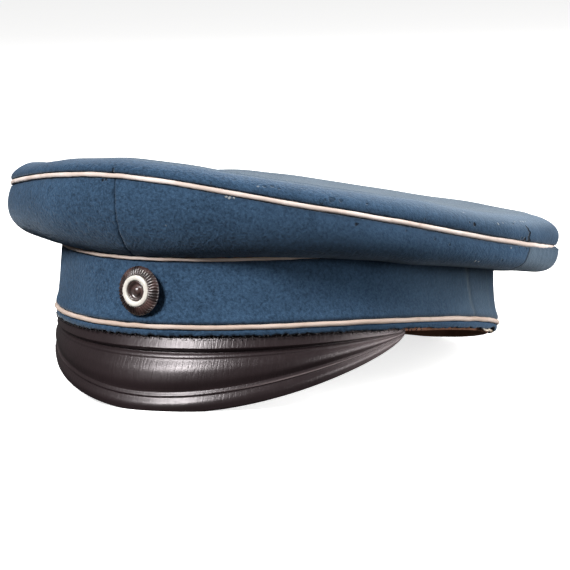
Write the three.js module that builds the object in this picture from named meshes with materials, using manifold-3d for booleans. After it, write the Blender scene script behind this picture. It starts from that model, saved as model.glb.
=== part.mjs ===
// A peaked field cap of blue wool cloth with cream pipings, a black leather peak and a cockade.
// Millimetres and degrees, +Z up. Inside the group "cap" the front faces -Y, the wearer's left
// is +X, and height 0 is the mean height of the lower piping. The group is then pitched back
// until the peak's edge and the rear of the sweatband stand on the same level, as the cap rests.

import * as THREE from 'three';
import Module from 'manifold-3d';

// Driving dimensions
const BAND = { front: 98.5, side: 84.45, height: 26, saddle: 4, lean: 1.9, wall: 2.2 };
const CROWN = { front: 115, side: 111.9, back: -1, wall: 1.8, seamInset: 0.6, centre: 51.5 };
const PANEL = { footOut: 0.35, footLift: 0.05, footHandle: 7.5, wall: 1.8 };
const ROLL = { share: 0.5, width: 13, rise: 0.5, crestHandle: 8, crestDrop: 0.6, dish: 1.5 };
const PIPING = { crown: 0.95, bandTop: 0.7, bandFoot: 0.95, proud: 0.55, footProud: 1.9 };
const HEM = { depth: 3.7, wall: 2 };
const SWEATBAND = { top: 22, hang: 4.8, wall: 1.2 };
const PEAK = { halfWidth: 81.2, drop: 27.7, taper: 1.12, twist: 0.27, flare: 2.7, flareTaper: 3.6,
  rootOut: 0.8, wall: 2.2, reachAngle: 87, reliefTaper: 0.5 };
const COCKADE = { x: 4.3, height: 13.6, nod: 3, out: 0.45, standOff: 1.6, radius: 9.6,
  ringOuter: 6.1, ringInner: 4.1, seat: 0.6, flutes: 44, fluteDepth: 0.5, pinRadius: 0.8,
  pinLength: 4.4, drillLength: 12 };
const GAP = 0.3;
const REST_FLAT = 0.5;
const SIDE_SEAM = 97.5;
const SEAM_SLIT = 0.08;
const ROUND_STEPS = 48;
const PEAK_STEPS = 32;

// Crown heights in eight directions round the cap, 45 degrees apart, with 0 at the front and 90
// at the wearer's left.
// piping: height of the crown piping; ridge: height of the rolled edge of the top;
// dip: how steeply the side panel leaves the band downwards; tuck: how far below the crown
// piping it turns in; bulge and swell: how far the panel and the top's roll stand out.
const CROWN_ROWS = [
  { at: 0, piping: 53.2, ridge: 59.8, dip: -2, tuck: 14, bulge: 0.7, swell: 0.2 },
  { at: 45, piping: 44.2, ridge: 52.9, dip: 3.6, tuck: 15, bulge: 3.2, swell: 1.4 },
  { at: 90, piping: 35.5, ridge: 47.0, dip: 10, tuck: 13.5, bulge: 3.5, swell: 2.8 },
  { at: 135, piping: 34.8, ridge: 48.1, dip: 8.6, tuck: 11.5, bulge: 4, swell: 4.8 },
  { at: 180, piping: 40.7, ridge: 53.6, dip: 4, tuck: 12.5, bulge: 3.3, swell: 2.8 },
  { at: 225, piping: 49.1, ridge: 59.9, dip: 3, tuck: 16, bulge: 3.5, swell: 1.2 },
  { at: 270, piping: 47.9, ridge: 56.0, dip: 4, tuck: 18, bulge: 5, swell: 1 },
  { at: 315, piping: 49.2, ridge: 55.6, dip: 2, tuck: 17, bulge: 6, swell: 1.4 },
];

// The band's outer face: height above the lower piping and how far it stands out there.
const BAND_ROWS = [
  { height: 1.25, out: 2.4 },
  { height: 2.8, out: 2.1 },
  { height: 5, out: 1.4 },
  { height: 9, out: 0.8 },
  { height: 15, out: 0.35 },
  { height: 25, out: 0 },
];

const HEM_ROWS = [
  { height: -HEM.depth, out: 1.5 },
  { height: -2.5, out: 1.9 },
  { height: -1.25, out: 2.1 },
];

const SWEATBAND_ROWS = [
  { height: -SWEATBAND.hang, out: -1.9 },
  { height: -1, out: -1.8 },
  { height: 8, out: -2.3 },
  { height: SWEATBAND.top, out: -2.7 },
];

// The peak from its sewn root to its edge. middle and corner: share of the way down at the
// front and at the corners; proud: how far the moulded face stands out there.
const PEAK_ROWS = [
  { name: 'root', middle: 0, corner: 0, proud: 0.3 },
  { name: 'bead', middle: 0.07, corner: 0.09, proud: 0.6 },
  { name: 'bead foot', middle: 0.135, corner: 0.18, proud: -0.3 },
  { name: 'groove', middle: 0.17, corner: 0.22, proud: -1.3 },
  { name: 'field top', middle: 0.21, corner: 0.26, proud: -0.7 },
  { name: 'field', middle: 0.38, corner: 0.36, proud: 0.6 },
  { name: 'field', middle: 0.56, corner: 0.46, proud: 0.8 },
  { name: 'valley', middle: 0.73, corner: 0.57, proud: -0.3 },
  { name: 'rib', middle: 0.78, corner: 0.64, proud: 0.7 },
  { name: 'rib foot', middle: 0.81, corner: 0.69, proud: 0.2 },
  { name: 'rim', middle: 0.86, corner: 0.76, proud: 1.1 },
  { name: 'edge', middle: 1, corner: 1, proud: 0.3 },
];

const COLOURS = { cloth: 0x35536f, piping: 0xd8cdbc, leather: 0x17141a, sweat: 0x5b3422,
  cockade: 0x1b1618, white: 0xe9e4dc, metal: 0x8c8578 };

const rad = THREE.MathUtils.degToRad;
const vec = (x, y, z) => new THREE.Vector3(x, y, z);

// A column of the crown table at any direction, smooth through its rows all the way round.
function crownValue(column, direction) {
  const count = CROWN_ROWS.length;
  const place = THREE.MathUtils.euclideanModulo(direction, 360) / (360 / count);
  const row = Math.floor(place);
  const t = place - row;
  const [a, b, c, d] = [-1, 0, 1, 2].map((step) => CROWN_ROWS[(row + step + count) % count][column]);
  return b + 0.5 * t * (c - a + t * (2 * a - 5 * b + 4 * c - d + t * (3 * (b - c) + d - a)));
}

// Height of the lower piping: low at front and rear, high at the sides.
const saddle = (direction) => -BAND.saddle * Math.cos(2 * rad(direction));

// A point of the band's family of ellipses, at a height above the lower piping.
function bandPoint(direction, out, height) {
  const angle = rad(direction);
  const lean = BAND.lean * Math.max(height, 0) / BAND.height;
  return vec(
    (BAND.side + out) * Math.sin(angle),
    -(BAND.front + out) * Math.cos(angle) - lean,
    saddle(direction) + height,
  );
}

// A point of the crown's ellipse, inset from the piping's outermost line, at a cap height.
function crownPoint(direction, inset, z) {
  const angle = rad(direction);
  return vec(
    (CROWN.side - inset) * Math.sin(angle),
    -(CROWN.front - inset) * Math.cos(angle) + CROWN.back,
    z,
  );
}

const outward = (direction) => vec(Math.sin(rad(direction)), -Math.cos(rad(direction)), 0);

// Makes one closed body from quads and triangles given as point lists, merging equal points,
// dropping slivers that a pole leaves, and turning all faces outwards.
function closedBody(faces) {
  const index = new Map();
  const positions = [];
  const indices = [];
  const vertex = (point) => {
    const key = [point.x, point.y, point.z].map((value) => Math.round(value * 1e4)).join();
    if (!index.has(key)) {
      index.set(key, positions.length / 3);
      positions.push(point.x, point.y, point.z);
    }
    return index.get(key);
  };
  for (const face of faces) {
    const corners = face.map(vertex);
    for (let k = 1; k + 1 < corners.length; k += 1) {
      const triangle = [corners[0], corners[k], corners[k + 1]];
      if (new Set(triangle).size === 3) indices.push(...triangle);
    }
  }
  const at = (k) => vec(...positions.slice(3 * k, 3 * k + 3));
  let volume = 0;
  for (let k = 0; k < indices.length; k += 3) {
    volume += at(indices[k]).dot(at(indices[k + 1]).cross(at(indices[k + 2])));
  }
  if (volume < 0) indices.reverse();
  const geometry = new THREE.BufferGeometry();
  geometry.setAttribute('position', new THREE.Float32BufferAttribute(positions, 3));
  geometry.setIndex(indices);
  return geometry;
}

// Quads between neighbouring rows of a grid of points.
function gridFaces(grid, around) {
  const faces = [];
  const last = around ? grid.length : grid.length - 1;
  for (let i = 0; i < last; i += 1) {
    const here = grid[i];
    const next = grid[(i + 1) % grid.length];
    for (let j = 0; j + 1 < here.length; j += 1) {
      faces.push([here[j], next[j], next[j + 1], here[j + 1]]);
    }
  }
  return faces;
}

// A sheet with a thickness: its outer and inner grids, closed along every free edge.
function wallBody(outer, inner, around) {
  const reversed = inner.map((section) => [...section].reverse());
  const loops = outer.map((section, i) => [...section, ...reversed[i], section[0]]);
  const faces = gridFaces(loops, around);
  if (!around) {
    for (const [i, flip] of [[0, false], [outer.length - 1, true]]) {
      for (let j = 0; j + 1 < outer[i].length; j += 1) {
        const quad = [outer[i][j], outer[i][j + 1], inner[i][j + 1], inner[i][j]];
        faces.push(flip ? quad.reverse() : quad);
      }
    }
  }
  return closedBody(faces);
}

// The inner face of a wall: each point of a surface moved inwards along the surface's normal.
function innerFace(directions, shares, surface, thickness) {
  const shareStep = 0.002;
  const turnStep = 0.1;
  return directions.map((direction) => shares.map((share) => {
    const low = Math.max(share - shareStep, 0);
    const high = Math.min(share + shareStep, 1);
    const along = surface(direction + turnStep, share).sub(surface(direction - turnStep, share));
    const up = surface(direction, high).sub(surface(direction, low));
    const normal = along.cross(up).normalize();
    return surface(direction, share).addScaledVector(normal, -thickness);
  }));
}

const sample = (directions, shares, surface) => directions.map(
  (direction) => shares.map((share) => surface(direction, share)),
);

const spread = (from, to, steps) => Array.from(
  { length: steps + 1 },
  (_, k) => from + (to - from) * k / steps,
);

const ROUND = spread(0, 360, ROUND_STEPS).slice(0, -1);

// A ring whose face is given by a table of heights and outsets, with a level wall thickness.
function bandRing(rows, thickness) {
  const outer = ROUND.map((direction) => rows.map((row) => bandPoint(direction, row.out, row.height)));
  const inner = ROUND.map((direction) => rows.map(
    (row) => bandPoint(direction, row.out - thickness, row.height),
  ));
  return wallBody(outer, inner, true);
}

// A piping: a round cord closed on itself, along a centre line.
function pipingRing(centreLine, radius, sides) {
  const sections = ROUND.map((direction) => {
    const centre = centreLine(direction);
    return spread(0, 360, sides).map((turn) => centre.clone()
      .addScaledVector(outward(direction), radius * Math.cos(rad(turn)))
      .add(vec(0, 0, radius * Math.sin(rad(turn)))));
  });
  return closedBody(gridFaces(sections, true));
}

// A side panel of the crown, from the upper band piping (share 0) to the crown piping (share 1).
function sidePanel(direction, share) {
  const foot = bandPoint(direction, PANEL.footOut, BAND.height + PIPING.bandTop + GAP + PANEL.footLift);
  const piping = crownValue('piping', direction);
  const head = crownPoint(direction, CROWN.seamInset, piping - PIPING.crown - GAP);
  const away = outward(direction);
  const footHandle = foot.clone().addScaledVector(away, PANEL.footHandle)
    .add(vec(0, 0, -crownValue('dip', direction)));
  const headHandle = head.clone().addScaledVector(away, crownValue('bulge', direction))
    .add(vec(0, 0, -crownValue('tuck', direction)));
  return new THREE.CubicBezierCurve3(foot, footHandle, headHandle, head).getPoint(share);
}

// The crown's top: a roll from the crown piping (share 0) up to the ridge (share ROLL.share),
// then a shallow dish to the centre (share 1).
function crownTop(direction, share) {
  const piping = crownValue('piping', direction);
  const ridge = crownValue('ridge', direction);
  const crest = crownPoint(direction, ROLL.width, ridge);
  if (share <= ROLL.share) {
    const foot = crownPoint(direction, CROWN.seamInset, piping + PIPING.crown + GAP);
    const away = outward(direction);
    const footHandle = foot.clone().addScaledVector(away, crownValue('swell', direction))
      .add(vec(0, 0, ROLL.rise * (ridge - piping)));
    const crestHandle = crest.clone().addScaledVector(away, ROLL.crestHandle)
      .add(vec(0, 0, -ROLL.crestDrop));
    const roll = new THREE.CubicBezierCurve3(foot, footHandle, crestHandle, crest);
    return roll.getPoint(share / ROLL.share);
  }
  const inward = (share - ROLL.share) / (1 - ROLL.share);
  const centre = vec(0, CROWN.back, CROWN.centre);
  const point = crest.clone().lerp(centre, inward);
  point.z = CROWN.centre + (ridge - CROWN.centre) * (1 - inward) ** ROLL.dish;
  return point;
}

function sidePanelBody(from, to) {
  const inside = ROUND.concat(360).filter((direction) => direction > from + 1 && direction < to - 1);
  const directions = [from + SEAM_SLIT, ...inside, to - SEAM_SLIT];
  const shares = spread(0, 1, 8);
  const outer = sample(directions, shares, sidePanel);
  return wallBody(outer, innerFace(directions, shares, sidePanel, PANEL.wall), false);
}

function crownTopBody() {
  const shares = [0, 0.1, 0.2, 0.3, 0.4, 0.5, 0.62, 0.78, 1];
  const outer = sample(ROUND, shares, crownTop);
  const inner = innerFace(ROUND, shares.slice(0, -1), crownTop, CROWN.wall);
  const centre = vec(0, CROWN.back, CROWN.centre - CROWN.wall);
  inner.forEach((section) => section.push(centre));
  return wallBody(outer, inner, true);
}

// The peak hangs from the hem like a skirt: turn runs from -90 at the wearer's right corner to
// 90 at the left one, and share runs from the root (0) to the edge (1).
function peakSheet(turn, share, proud) {
  const angle = rad(turn);
  const x = PEAK.halfWidth * Math.sin(angle);
  const direction = THREE.MathUtils.radToDeg(Math.asin(x / (BAND.side + PEAK.rootOut)));
  const root = bandPoint(direction, PEAK.rootOut, -HEM.depth - GAP);
  const drop = PEAK.drop * Math.cos(angle) ** PEAK.taper * (1 + PEAK.twist * Math.sin(angle));
  const flare = PEAK.flare * Math.cos(angle) ** PEAK.flareTaper;
  return root.add(vec(0, -flare * share, -drop * share)).addScaledVector(outward(direction), proud);
}

function peakBody() {
  const turns = spread(-PEAK.reachAngle, PEAK.reachAngle, PEAK_STEPS);
  const outer = [];
  const inner = [];
  for (const turn of turns) {
    const toCorner = Math.sin(rad(turn)) ** 2;
    const relief = Math.cos(rad(turn)) ** PEAK.reliefTaper;
    const share = (row) => THREE.MathUtils.lerp(row.middle, row.corner, toCorner);
    outer.push(PEAK_ROWS.map((row) => peakSheet(turn, share(row), row.proud * relief)));
    inner.push(PEAK_ROWS.map((row) => peakSheet(turn, share(row), -PEAK.wall)));
  }
  return wallBody(outer, inner, false);
}

// The triangles of a library geometry, as point lists.
function trianglesOf(geometry) {
  const position = geometry.getAttribute('position');
  const corner = (k) => new THREE.Vector3().fromBufferAttribute(position, k);
  const faces = [];
  for (let k = 0; k < geometry.index.count; k += 3) {
    faces.push([0, 1, 2].map((step) => corner(geometry.index.getX(k + step))));
  }
  return faces;
}

// A turned piece about its own +Z axis, from a closed profile of radius and height pairs.
function turned(profile, segments) {
  const points = profile.map(([radius, height]) => new THREE.Vector2(radius, height));
  const lathe = new THREE.LatheGeometry(points, segments).rotateX(Math.PI / 2);
  return closedBody(trianglesOf(lathe));
}

// The cockade's fluted rim: a domed ring whose face rises and falls from rib to rib.
function flutedRing() {
  const rows = [
    { radius: COCKADE.ringOuter + GAP, height: 0, flute: 0 },
    { radius: COCKADE.radius - 0.5, height: 0, flute: 0 },
    { radius: COCKADE.radius, height: 0.9, flute: 0.3 },
    { radius: COCKADE.radius - 0.5, height: 1.9, flute: 0.8 },
    { radius: COCKADE.ringOuter + 1.1, height: 2.9, flute: 1 },
    { radius: COCKADE.ringOuter + GAP, height: 3.1, flute: 0.2 },
  ];
  const steps = 2 * COCKADE.flutes;
  const sections = spread(0, 360, steps).slice(0, -1).map((turn, k) => {
    const sink = k % 2 === 0 ? 0 : COCKADE.fluteDepth;
    return [...rows, rows[0]].map((row) => {
      const radius = row.radius - 0.5 * sink * row.flute;
      return vec(radius * Math.cos(rad(turn)), radius * Math.sin(rad(turn)),
        row.height - sink * row.flute);
    });
  });
  return closedBody(gridFaces(sections, true));
}

function material(colour, roughness, metalness = 0) {
  return new THREE.MeshStandardMaterial({ color: colour, roughness, metalness });
}

function mesh(name, geometry, finish) {
  const piece = new THREE.Mesh(geometry, finish);
  piece.name = name;
  return piece;
}

// Cuts one closed geometry out of another.
async function cutAway(body, tool) {
  const wasm = await Module();
  wasm.setup();
  const solid = (geometry) => new wasm.Manifold(new wasm.Mesh({
    numProp: 3,
    vertProperties: new Float32Array(geometry.getAttribute('position').array),
    triVerts: new Uint32Array(geometry.index.array),
  }));
  const result = solid(body).subtract(solid(tool)).getMesh();
  const geometry = new THREE.BufferGeometry();
  geometry.setAttribute('position', new THREE.Float32BufferAttribute(result.vertProperties, 3));
  geometry.setIndex(Array.from(result.triVerts));
  return geometry;
}

const cloth = material(COLOURS.cloth, 0.95);
const cord = material(COLOURS.piping, 0.85);
const peakLeather = material(COLOURS.leather, 0.3);
const sweatLeather = material(COLOURS.sweat, 0.7);
const blackLacquer = material(COLOURS.cockade, 0.35);
const whiteLacquer = material(COLOURS.white, 0.4);
const metal = material(COLOURS.metal, 0.4, 1);

const cap = new THREE.Group();

// Crown: the top, four quarter panels with seams at front, rear and both sides, and the piping
cap.add(mesh('crown_top', crownTopBody(), cloth));
const panels = [
  { name: 'side_panel_front_left', from: 0, to: SIDE_SEAM },
  { name: 'side_panel_rear_left', from: SIDE_SEAM, to: 180 },
  { name: 'side_panel_rear_right', from: 180, to: 360 - SIDE_SEAM },
  { name: 'side_panel_front_right', from: 360 - SIDE_SEAM, to: 360 },
];
for (const panel of panels) {
  cap.add(mesh(panel.name, sidePanelBody(panel.from, panel.to), cloth));
}
const crownPipingLine = (direction) => crownPoint(
  direction, PIPING.crown, crownValue('piping', direction),
);
cap.add(mesh('crown_piping', pipingRing(crownPipingLine, PIPING.crown, 8), cord));

// Cockade, built facing +Z and then turned to face forwards on the band
const cockade = new THREE.Group();
cockade.position.copy(bandPoint(
  THREE.MathUtils.radToDeg(Math.asin(COCKADE.x / BAND.side)), COCKADE.out, COCKADE.height,
));
cockade.position.y -= COCKADE.standOff;
cockade.rotation.x = rad(90 + COCKADE.nod);
cockade.add(mesh('cockade_rim', flutedRing(), blackLacquer));
cockade.add(mesh('cockade_ring', turned([
  [COCKADE.ringInner, COCKADE.seat], [COCKADE.ringOuter, COCKADE.seat], [COCKADE.ringOuter, 3.3],
  [COCKADE.ringOuter - 0.5, 3.6], [COCKADE.ringInner + 0.4, 3.6], [COCKADE.ringInner, 3.3],
  [COCKADE.ringInner, COCKADE.seat],
], 36), whiteLacquer));
const centreRadius = COCKADE.ringInner - GAP;
cockade.add(mesh('cockade_centre', turned([
  [0, COCKADE.seat], [centreRadius, COCKADE.seat], [centreRadius, 2.7], [centreRadius - 0.5, 2.9],
  [centreRadius - 1, 2.3], [2.1, 1.9], [1.7, 2.5], [0.9, 3.1], [0, 3.2],
], 28), blackLacquer));
cap.add(cockade);

// Pin: a plain post behind the cockade, through a hole in the band
const pin = new THREE.CylinderGeometry(
  COCKADE.pinRadius, COCKADE.pinRadius, COCKADE.pinLength, 12,
);
pin.rotateX(Math.PI / 2).translate(0, 0, COCKADE.seat - GAP - COCKADE.pinLength / 2);
cockade.add(mesh('cockade_pin', pin, metal));
const drillRadius = COCKADE.pinRadius + GAP;
const drill = new THREE.CylinderGeometry(drillRadius, drillRadius, COCKADE.drillLength, 12);
drill.rotateX(Math.PI / 2);
cap.updateMatrixWorld(true);
drill.applyMatrix4(cockade.matrixWorld);
const mergedDrill = closedBody(trianglesOf(drill));

// Band with its two pipings, the hem strip below and the sweatband inside
cap.add(mesh('band', await cutAway(bandRing(BAND_ROWS, BAND.wall), mergedDrill), cloth));
const bandTopLine = (direction) => bandPoint(
  direction, PIPING.proud - PIPING.bandTop, BAND.height,
);
cap.add(mesh('band_piping_upper', pipingRing(bandTopLine, PIPING.bandTop, 6), cord));
const bandFootLine = (direction) => bandPoint(direction, PIPING.footProud, 0);
cap.add(mesh('band_piping_lower', pipingRing(bandFootLine, PIPING.bandFoot, 6), cord));
cap.add(mesh('band_hem', bandRing(HEM_ROWS, HEM.wall), cloth));
cap.add(mesh('sweatband', bandRing(SWEATBAND_ROWS, SWEATBAND.wall), sweatLeather));
cap.add(mesh('peak', peakBody(), peakLeather));

// Rest: pitch the cap back until the peak's edge and the rear of the sweatband are level, and
// press the leather flat where it stands
function onStandingPiece(name, pitch, action) {
  const position = cap.getObjectByName(name).geometry.getAttribute('position');
  const lean = new THREE.Matrix4().makeRotationX(-pitch);
  const back = lean.clone().invert();
  for (let k = 0; k < position.count; k += 1) {
    const point = new THREE.Vector3().fromBufferAttribute(position, k).applyMatrix4(lean);
    action(point);
    point.applyMatrix4(back);
    position.setXYZ(k, point.x, point.y, point.z);
  }
}

function lowest(name, pitch) {
  let low = Infinity;
  onStandingPiece(name, pitch, (point) => { low = Math.min(low, point.z); });
  return low;
}

function restPitch() {
  let flat = 0;
  let steep = rad(20);
  while (steep - flat > 1e-6) {
    const middle = (flat + steep) / 2;
    if (lowest('peak', middle) < lowest('sweatband', middle)) flat = middle;
    else steep = middle;
  }
  return flat;
}

const pitch = restPitch();
const floor = lowest('peak', pitch) + REST_FLAT;
for (const name of ['peak', 'sweatband']) {
  onStandingPiece(name, pitch, (point) => { point.z = Math.max(point.z, floor); });
}

cap.rotation.x = -pitch;
const group = new THREE.Group();
group.add(cap);
const box = new THREE.Box3().setFromObject(group, true);
const middle = box.getCenter(new THREE.Vector3());
cap.position.set(-middle.x, -middle.y, -box.min.z);

export default group;
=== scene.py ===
# %% [markdown]
# # A peaked field cap of blue wool
#
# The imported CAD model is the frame, with the right places and the main shapes. This script
# dresses it: soft wool panels with turned-in seams, cord pipings, a moulded leather peak, a
# leather sweatband and a small fluted cockade. Every piece is worked out as a grid of points
# with numpy and stands for the CAD node of its name.

import math

import bmesh
import bpy
import numpy as np
from mathutils import Matrix, Vector


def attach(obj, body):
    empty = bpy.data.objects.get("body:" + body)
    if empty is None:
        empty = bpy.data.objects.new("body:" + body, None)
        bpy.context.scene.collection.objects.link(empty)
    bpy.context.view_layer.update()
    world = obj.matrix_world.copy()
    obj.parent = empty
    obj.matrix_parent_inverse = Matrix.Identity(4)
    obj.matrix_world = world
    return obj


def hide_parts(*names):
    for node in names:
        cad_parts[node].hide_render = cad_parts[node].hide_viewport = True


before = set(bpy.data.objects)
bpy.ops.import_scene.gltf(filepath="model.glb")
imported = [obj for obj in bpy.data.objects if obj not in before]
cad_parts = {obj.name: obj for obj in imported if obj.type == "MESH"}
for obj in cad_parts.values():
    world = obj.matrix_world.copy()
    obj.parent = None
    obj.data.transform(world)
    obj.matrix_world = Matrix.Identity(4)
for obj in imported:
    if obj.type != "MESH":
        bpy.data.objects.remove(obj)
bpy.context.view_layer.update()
print("CAD nodes:", ", ".join(sorted(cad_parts)))

# %% [markdown]
# ## Camera
#
# The camera looks at the wearer's left front, a little from above, through a long lens, so the
# cap shows with hardly any perspective. A focal length of 183 mm at 1.2 m does that.

# %% Camera
CAMERA = {"azimuth": 34.904, "elevation": 8.069, "distance": 1.20298, "roll": -1.596}
LENS, CLIP_END = 182.58, 50
AIM = Vector((-0.00056, -0.00039, 0.0335))


def stand(data, azimuth, elevation, distance, roll=0.0):
    """Puts a camera or light on a sphere round AIM, facing it, and rolls it about its own view. An
    azimuth of 0 is in front of the cap, and one of 90 at the wearer's left."""
    turn, rise = math.radians(azimuth), math.radians(elevation)
    back = Vector((math.sin(turn) * math.cos(rise), -math.cos(turn) * math.cos(rise), math.sin(rise)))
    thing = bpy.data.objects.new(data.name, data)
    thing.matrix_world = (
        Matrix.Translation(AIM + back * distance)
        @ back.to_track_quat("Z", "Y").to_matrix().to_4x4()
        @ Matrix.Rotation(math.radians(roll), 4, "Z")
    )
    bpy.context.scene.collection.objects.link(thing)
    return thing


camera = bpy.data.cameras.new("camera")
camera.lens, camera.clip_end = LENS, CLIP_END
bpy.context.scene.camera = stand(camera, **CAMERA)
bpy.context.scene.view_settings.view_transform = "Standard"
print("camera stands", round(CAMERA["distance"], 3), "m from the cap")

# %% [markdown]
# ## Shader sums in Python
#
# A finish is easier to read as a formula than as a wall of nodes. `Flow` wraps a socket, so that
# `1 - worn * 0.5` adds the Math nodes for it. `Finish` is the workbench of one material.


# %% Flow and Finish
class Flow:
    """A socket that Python can do sums with. Each sum adds one Math node to its material."""

    def __init__(self, finish, socket):
        self.finish, self.socket = finish, socket

    def __add__(self, other):
        return self.finish.maths("ADD", self, other)

    def __sub__(self, other):
        return self.finish.maths("SUBTRACT", self, other)

    def __rsub__(self, other):
        return self.finish.maths("SUBTRACT", other, self)

    def __mul__(self, other):
        return self.finish.maths("MULTIPLY", self, other)

    __radd__ = __add__

    def held(self):
        """The same number, but never below 0 or above 1."""
        return self.finish.maths("ADD", self, 0, clamp=True)

    def between(self, low, high):
        """0 at low and 1 at high, smooth at both ends. low may be above high."""
        return self.finish.node("MapRange", {"interpolation_type": "SMOOTHSTEP"},
                                {0: self, 1: low, 2: high})


class Finish:
    """One material, or the sky, and the nodes that make it."""

    def __init__(self, name, kind=("materials", "BsdfPrincipled", "OutputMaterial")):
        owners, shader, output = kind
        self.material = getattr(bpy.data, owners).new(name)
        self.material.use_nodes = True
        self.tree = self.material.node_tree
        self.tree.nodes.clear()
        self.shader = self.tree.nodes.new("ShaderNode" + shader)
        self.node(output, inputs={0: Flow(self, self.shader.outputs[0])})
        self.place = self.node("TexCoord", output="Object")

    def plug(self, socket, value):
        """Links a flow to a socket, or sets the socket to a steady value."""
        if isinstance(value, Flow):
            self.tree.links.new(value.socket, socket)
        else:
            socket.default_value = value

    def node(self, kind, settings=None, inputs=None, output=0):
        """Any node: its settings are set first, then its sockets are given values or links."""
        made = self.tree.nodes.new("ShaderNode" + kind)
        for key, value in (settings or {}).items():
            setattr(made, key, value)
        for key, value in (inputs or {}).items():
            self.plug(made.inputs[key], value)
        return Flow(self, made.outputs[output]) if made.outputs else None

    def maths(self, operation, *values, clamp=False):
        """One Math node, such as ADD or MAXIMUM, of the values."""
        return self.node("Math", {"operation": operation, "use_clamp": clamp},
                         dict(enumerate(values)))

    def blend(self, first, second, share):
        """A colour between two: first where share is 0, second where it is 1."""
        return self.node("Mix", {"data_type": "RGBA"}, {0: share, 6: first, 7: second}, output=2)

    def noise(self, scale, detail, place=None, rough=0.55):
        """Soft random mottling from 0 to 1, with scale patches to the metre."""
        return self.node("TexNoise", inputs={
            "Vector": place or self.place, "Scale": scale, "Detail": detail, "Roughness": rough})

    def cells(self, scale, place=None, randomness=1.0):
        """How far a point is from the edge of its cell, with scale cells to the metre."""
        return self.node("TexVoronoi", {"feature": "DISTANCE_TO_EDGE"}, {
            "Vector": place or self.place, "Scale": scale, "Randomness": randomness})

    def mark(self, name):
        """A number that the mesh carries at each point, such as how worn the cloth is."""
        return self.node("Attribute", {"attribute_name": name}, output="Fac")

    def stretched(self, along, across):
        """The piece's own UV map, in metres, scaled to count patches along and across it."""
        uv = self.node("UVMap", {"uv_map": "cut"})
        return self.node("Mapping", {"vector_type": "POINT"},
                         {"Vector": uv, "Scale": (along, across, 1)})

    def relief(self, strength, rise, height):
        """The normal of a surface that stands up by rise metres where height is 1."""
        return self.node("Bump", inputs={"Strength": strength, "Distance": rise, "Height": height},
                         output="Normal")

    def done(self, **values):
        """Fits steady values, and flows that vary, to the shader's sockets."""
        for socket, value in values.items():
            self.plug(self.shader.inputs[socket.replace("_", " ")], value)
        return self.material


def mottled(name, first, second, scale, detail, **steady):
    """A finish of two colours that one noise blends."""
    plain = Finish(name)
    return plain.done(Base_Color=plain.blend(first, second, plain.noise(scale, detail)), **steady)


def dye(red, green, blue):
    """A paint-chart colour, 0 to 255 as screens give it, as the linear colour that shaders use."""
    linear = [((c / 255 + 0.055) / 1.055) ** 2.4 if c > 10 else c / 255 / 12.92
              for c in (red, green, blue)]
    return (*linear, 1.0)


print("middle grey in linear light:", round(dye(128, 128, 128)[0], 3))

# %% [markdown]
# ## The floor and the studio
#
# A pale, matt floor runs to the horizon, lit from within so that it stays white behind the cap,
# but it throws no light on the cap. The key light stands in front, high up. A broad one stands
# behind the wearer's left side, a low one fills that side, and a weak one stands behind. The
# sky is dim, and darker below, so the cap's belly stays darker than its crown.

# %% Floor
FLOOR = {"radius": 14.0, "corners": 64, "glow": 0.76}


def lay_floor():
    """A flat disc at height 0 that neither lights the cap nor shows in its polish."""
    turn = np.linspace(0, 2 * np.pi, FLOOR["corners"], endpoint=False)
    ring = np.stack([np.cos(turn), np.sin(turn), 0 * turn], -1) * FLOOR["radius"]
    mesh = bpy.data.meshes.new("floor")
    mesh.from_pydata(ring.tolist(), [], [list(range(FLOOR["corners"]))])
    floor = bpy.data.objects.new("floor", mesh)
    bpy.context.scene.collection.objects.link(floor)
    mesh.materials.append(mottled(
        "pale_floor", dye(247, 246, 244), dye(251, 250, 249), 3, 2, Roughness=0.9, Specular_IOR_Level=0.1,
        Emission_Color=(1, 1, 1, 1), Emission_Strength=FLOOR["glow"]))
    floor.visible_diffuse = False
    floor.visible_glossy = False


lay_floor()

# %% Studio light
LIGHTS = [  # name, azimuth, elevation, distance, width, height and watts
    ("key", -8, 38, 1.5, 0.36, 0.5, 30),
    ("side", 128, 26, 1.8, 1.2, 1.2, 40),
    ("low fill", 100, 3, 1.8, 1.2, 0.6, 21),
    ("rear", 205, 45, 1.8, 1.2, 1.2, 14),
]
SKY = {"From Min": -0.35, "From Max": 0.1, "To Min": 0.04, "To Max": 0.13}

for name, azimuth, elevation, distance, width, height, watts in LIGHTS:
    light = bpy.data.lights.new(name, "AREA")
    light.shape, light.energy, light.size, light.size_y = "RECTANGLE", watts, width, height
    stand(light, azimuth, elevation, distance)

sky = Finish("studio", ("worlds", "Background", "OutputWorld"))
view = sky.node("TexCoord", output="Generated")
height = sky.node("SeparateXYZ", inputs={0: view}, output="Z")
bpy.context.scene.world = sky.done(Strength=sky.node("MapRange", inputs={"Value": height, **SKY}))
print("lights:", ", ".join(row[0] for row in LIGHTS))

# %% [markdown]
# ## The cap's own shape
#
# The cap is worked out in millimetres in its own frame: the front faces -Y, the wearer's left is
# +X, and height 0 is the mean height of the lower piping. A direction is an angle round the cap,
# 0 at the front and 90 at the wearer's left. The band is a family of ellipses. The crown's
# heights are given in eight directions and run smoothly from one to the next.

# %% Named sizes, in millimetres
BAND = {"front": 98.5, "side": 84.45, "height": 26.0, "saddle": 4.0, "lean": 1.9, "wall": 2.2}
CROWN = {"front": 115.0, "side": 111.9, "back": -1.0, "wall": 1.8, "inset": 0.6, "centre": 51.5}
PIPING = {"crown": 0.95, "band_top": 0.7, "band_foot": 0.95, "proud": 0.55, "foot_proud": 1.9}
GAP = 0.3
GIRTH = 600  # round the cap
REST_LEAN = 8.0322
REST_SHIFT = np.array([0.00225, -5.79422, 21.71163])

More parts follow.
